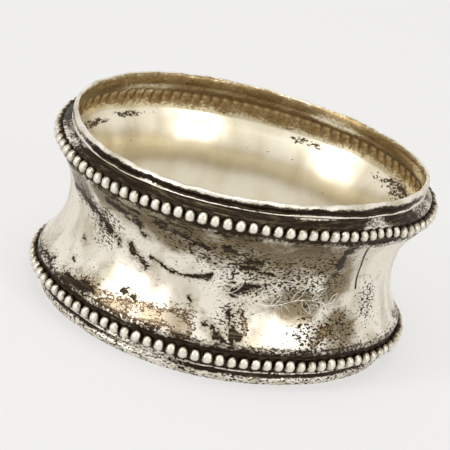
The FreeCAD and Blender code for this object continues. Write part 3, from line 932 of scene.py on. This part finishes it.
# How much of each mark lies at a place on the wall, by the name of its fade and colour
def addMarks(tree, here, noise, groove):
    flat = addUnrolled(tree, here)
    halfCloud = addNode(tree, "ShaderNodeMath", [noise["cloud"], 0.5], operation="MULTIPLY")
    both = addNode(tree, "ShaderNodeMath", [noise["grain"], 0.5, halfCloud], operation="MULTIPLY_ADD")

    # streaks and blotches stray from their lines and have frayed edges
    swing = noise["stray"].outputs["Color"]
    aside = addNode(tree, "ShaderNodeVectorMath", [swing, middleGrey], operation="SUBTRACT")
    wander = (silver["wander"], silver["wander"], 0.0)
    strayed = addNode(tree, "ShaderNodeVectorMath", [aside, wander, flat], operation="MULTIPLY_ADD")
    fray = [both, -silver["raggedness"], silver["raggedLevel"]]
    ragged = addNode(tree, "ShaderNodeMath", fray, operation="MULTIPLY_ADD")
    near = {}
    for name, lines in blotches.items():
        distance = addNearness(tree, strayed, lines)
        near[name] = addNode(tree, "ShaderNodeMath", [distance, ragged], operation="ADD")
    beyond = addNode(tree, "ShaderNodeMath", [near["brown"], 1.0], operation="SUBTRACT")
    offEdge = addNode(tree, "ShaderNodeMath", [beyond], operation="ABSOLUTE")

    # stains raise the noise that they are made from; specks also gather above the lower beads
    height = addNode(tree, "ShaderNodeSeparateXYZ", [here]).outputs["Z"]
    foot = addNode(tree, "ShaderNodeMapRange", {"Value": height, **fade("foot")})
    specked = addNode(tree, "ShaderNodeMath", [addStains(tree, flat, "specked"), foot], operation="MAXIMUM")
    pulls = {
        "dullAndShade": [addStains(tree, flat, "dullAndShade"), silver["dullAndShadePull"], noise["cloud"]],
        "specks": [specked, silver["speckPull"], noise["grain"]],
        "insideMark": [addStains(tree, flat, "inner"), silver["markPull"], both],
    }
    rubbing = [addStains(tree, flat, "rubbed"), -silver["rubbedDepth"], groove]
    rubbedOff = addNode(tree, "ShaderNodeMath", rubbing, operation="MULTIPLY_ADD")
    depth = addNode(tree, "ShaderNodeMath", [both, silver["hollowFray"], rubbedOff], operation="MULTIPLY_ADD")

    values = {
        "handled": noise["smudge"], "insideDull": noise["smudge"], "scuffed": noise["rub"],
        "lone": noise["grain"], "lines": addNearness(tree, flat, creaseShadeLines),
        "streaks": near["black"], "halo": near["black"],
        "copper": near["brown"], "copperEdge": offEdge, "rim": offEdge,
        "insideHollow": depth, "insideDeep": depth,
    }
    for name, pull in pulls.items():
        values[name] = addNode(tree, "ShaderNodeMath", pull, operation="MULTIPLY_ADD")
    marks = {}
    for name, value in values.items():
        marks[name] = addNode(tree, "ShaderNodeMapRange", {"Value": value, **fade(name)})
    marks["dullAndShade"] = addNode(tree, "ShaderNodeMath", [marks["dullAndShade"], marks["halo"]], operation="MAXIMUM")
    return marks


def addMix(tree, factor, first, second):
    inputs = {"Factor": factor, 6: first, 7: second}
    return addNode(tree, "ShaderNodeMix", inputs, data_type="RGBA").outputs[2]


# Lays colours over one another, each as far as its mark reaches
def addLayers(tree, bottom, marks, *names):
    found = colour(silver[bottom])
    for name in names:
        found = addMix(tree, marks[name], found, colour(silver[name]))
    return found


# The metal itself, less polished and less metallic where it is dirty
def addSilver(tree, dirtAndShade, coat, clean, more):
    gloss = addNode(tree, "ShaderNodeMapRange", {
        "Value": dirtAndShade, "To Min": clean, "To Max": silver["tarnishRoughness"],
    })
    metal = addNode(tree, "ShaderNodeMapRange", {
        "Value": dirtAndShade, "To Min": 1.0, "To Max": silver["tarnishMetal"],
    })
    shader = addNode(tree, "ShaderNodeBsdfPrincipled", {
        "Base Color": coat, "Roughness": gloss, "Metallic": metal, **more,
    })
    addNode(tree, "ShaderNodeOutputMaterial", [shader])


def makeWallSilver():
    material, tree = newMaterial("rolledSilver")
    here = addPlace(tree)
    given = {}
    for name in ("groove", "inside", "cup"):
        given[name] = addNode(tree, "ShaderNodeAttribute", attribute_name=name).outputs["Fac"]
    inside = given["inside"]
    outside = addNode(tree, "ShaderNodeMath", [1.0, inside], operation="SUBTRACT")
    noise = addNoises(tree, here, ("smudge", "cloud", "grain", "stray", "rub"))
    marks = addMarks(tree, here, noise, given["groove"])
    # the dimples inside are painted lighter, a painted highlight where the cups catch light
    marks["insideCupHighlight"] = given["cup"]

    # the dull layer is tarnish in part, and painted shade high on the waist under the upper beads
    outer = addLayers(tree, "bright", marks, "handled", "dullAndShade", "copper", "copperEdge")
    inner = addLayers(tree, "inside", marks, "insideDull", "insideHollow", "insideDeep", "insideCupHighlight")
    base = addMix(tree, inside, outer, inner)
    # rubbed lines run round the hoop through the tarnish
    rubbed = addLayers(tree, "tarnish", marks, "scuffed")
    coating = addMix(tree, inside, rubbed, colour(silver["insideMark"]))

    # a hollow is black with tarnish on the outside, and only browned on the inside; the crease lines in this
    # mix are painted shade
    dirtAndShade = marks["streaks"]
    for name in ("specks", "rim", "lines", "lone", "insideHollow"):
        dirtAndShade = addNode(tree, "ShaderNodeMath", [dirtAndShade, marks[name]], operation="MAXIMUM")
    outerDirtAndShade = addNode(tree, "ShaderNodeMath", [dirtAndShade, outside], operation="MULTIPLY")
    innerDirt = addNode(tree, "ShaderNodeMath", [marks["insideMark"], inside], operation="MULTIPLY")
    dirtAndShade = addNode(tree, "ShaderNodeMath", [outerDirtAndShade, innerDirt], operation="ADD", use_clamp=True)
    coat = addMix(tree, dirtAndShade, base, coating)
    clean = addNode(tree, "ShaderNodeMapRange", {
        "Value": inside, "To Min": silver["brightRoughness"], "To Max": silver["insideRoughness"],
    })
    pitted = addNode(tree, "ShaderNodeMath", [noise["cloud"], outside], operation="MULTIPLY")
    relief = addNode(tree, "ShaderNodeMath", [dirtAndShade, -silver["dirtRelief"], pitted], operation="MULTIPLY_ADD")
    bump = addNode(tree, "ShaderNodeBump", {
        "Strength": silver["bumpStrength"], "Distance": silver["bumpHeight"] * millimetre, "Height": relief,
    })
    addSilver(tree, dirtAndShade, coat, clean, {"Normal": bump})
    return material


def makeBeadSilver():
    material, tree = newMaterial("stampedBeadSilver")
    grain = addNoises(tree, addPlace(tree), ["beadGrain"])["beadGrain"]
    crest = addNode(tree, "ShaderNodeAttribute", attribute_name="crest").outputs["Fac"]
    # the flanks are painted darker as painted shade, and the foot is dark with tarnish and painted shade in
    # the gaps between beads
    crestLightAndWear = addNode(tree, "ShaderNodeMath", [grain, -silver["beadFray"], crest], operation="MULTIPLY_ADD")
    marks = {}
    for name, fadeName in {"tarnish": "beadGapTarnishAndShade", "beadFlankShade": "beadFlankShade"}.items():
        marks[name] = addNode(tree, "ShaderNodeMapRange", {"Value": crestLightAndWear, **fade(fadeName)})
    coat = addLayers(tree, "bright", marks, "beadFlankShade", "tarnish")
    addSilver(tree, marks["tarnish"], coat, silver["brightRoughness"], {})
    return material


# Freshly cut silver, left bright by the graver
def makeCutSilver():
    material, tree = newMaterial("brightCutSilver")
    shader = addNode(tree, "ShaderNodeBsdfPrincipled", {
        "Base Color": colour(silver["cut"]), "Roughness": silver["cutRoughness"], "Metallic": 1.0,
    })
    addNode(tree, "ShaderNodeOutputMaterial", [shader])
    return material


wall = newPiece("silver_wall", makeSection())
grow(wall, makeWallTree(), {**wallSizes, **bends, "metal": makeWallSilver()})
beads = newPiece("bead_rows", bpy.data.meshes.new("start"))
grow(beads, makeBeadTree(), {**beadSizes, **bends, "metal": makeBeadSilver()})
sprig = newPiece("engraved_sprig", bpy.data.meshes.new("start"))
grow(sprig, makeSprigTree(), {
    **sprigSizes, **sprigCounts, **bends, "wall": wall, "metal": makeCutSilver(),
})

for piece in (wall, beads, sprig):
    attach(piece, "root")
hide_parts("napkin_ring")
print("ring made")

# Camera: a long lens looking down at the front, rolled so that the ring leans in the picture
view = {
    "lift": 22.6,
    "roll": 14.13,
    "distance": 350.0,
    "focal": 213.76,
    "across": -0.97,
    "up": 12.07,
    "sensor": 36.0,
}


def makeCamera():
    data = bpy.data.cameras.new("camera")
    data.lens = view["focal"]
    data.sensor_width = view["sensor"]
    data.clip_start = 0.01
    data.clip_end = 20.0
    camera = bpy.data.objects.new("camera", data)
    bpy.context.scene.collection.objects.link(camera)
    lift = math.radians(view["lift"])
    forward = Vector((0.0, math.cos(lift), -math.sin(lift)))
    level = Vector((1.0, 0.0, 0.0))
    upright = level.cross(forward)
    roll = math.radians(view["roll"])
    right = math.cos(roll) * level + math.sin(roll) * upright
    up = -math.sin(roll) * level + math.cos(roll) * upright
    aim = Vector((view["across"], 0.0, view["up"])) * millimetre
    place = Matrix((right, up, -forward)).transposed().to_4x4()
    place.translation = aim - forward * view["distance"] * millimetre
    camera.matrix_world = place
    bpy.context.scene.camera = camera


makeCamera()

studio = {
    "floor": "#efeeec",
    "background": "#f5f4f2",
    "fill": 0.44,
    "floorReach": 3.0,
    "floorRoughness": 0.9,
    "floorGloss": 0.1,
    "evenFloor": 0.7,  # share of the floor that shows as plain paper, whatever falls on it
    "lamps": {  # turn and lift of a soft box, its distance, width and height in metres, and its power
        "left": (218.0, 24.0, 0.7, 0.09, 0.85, 1.75),
        "right": (321.0, 27.0, 0.7, 0.06, 0.46, 0.7),
        "above": (250.0, 80.0, 2.2, 1.8, 1.8, 19.0),
    },
}


# Whether a ray sees the plain backdrop, rather than being lit by it
def addSeen(tree):
    rays = addNode(tree, "ShaderNodeLightPath")
    kinds = ("Is Camera Ray", "Is Glossy Ray", "Is Transmission Ray")
    return addTotal(tree, [rays.outputs[kind] for kind in kinds])


def makeStudio():
    floorMesh = bpy.data.meshes.new("floor")
    reach = studio["floorReach"]
    corners = [(-reach, -reach, 0), (reach, -reach, 0), (reach, reach, 0), (-reach, reach, 0)]
    floorMesh.from_pydata(corners, [], [(0, 1, 2, 3)])
    floor = newPiece("floor", floorMesh)
    material, tree = newMaterial("paperFloor")
    lit = addNode(tree, "ShaderNodeBsdfPrincipled", {
        "Base Color": colour(studio["floor"]),
        "Roughness": studio["floorRoughness"], "Specular IOR Level": studio["floorGloss"],
    })
    plain = addNode(tree, "ShaderNodeEmission", [colour(studio["background"]), 1.0])
    share = addNode(tree, "ShaderNodeMath", [addSeen(tree), studio["evenFloor"]], operation="MULTIPLY")
    addNode(tree, "ShaderNodeOutputMaterial", [addNode(tree, "ShaderNodeMixShader", [share, lit, plain])])
    floorMesh.materials.append(material)

    world = bpy.data.worlds.new("studio")
    bpy.context.scene.world = world
    world.use_nodes = True
    tree = world.node_tree
    tree.nodes.clear()
    clear = addNode(tree, "ShaderNodeBackground", [colour(studio["background"]), 1.0])
    soft = addNode(tree, "ShaderNodeBackground", [(1.0, 1.0, 1.0, 1.0), studio["fill"]])
    mixed = addNode(tree, "ShaderNodeMixShader", [addSeen(tree), soft, clear])
    addNode(tree, "ShaderNodeOutputWorld", [mixed])

    for name, (turn, lift, distance, wide, tall, power) in studio["lamps"].items():
        data = bpy.data.lights.new(name, "AREA")
        data.shape = "RECTANGLE"
        data.size = wide
        data.size_y = tall
        data.energy = power
        lamp = bpy.data.objects.new(name, data)
        bpy.context.scene.collection.objects.link(lamp)
        turned, lifted = math.radians(turn), math.radians(lift)
        away = Vector((
            math.cos(turned) * math.cos(lifted), math.sin(turned) * math.cos(lifted), math.sin(lifted),
        ))
        lamp.location = away * distance
        lamp.rotation_euler = away.to_track_quat("Z", "Y").to_euler()


makeStudio()
bpy.context.scene.view_settings.view_transform = "Standard"
print("studio made")
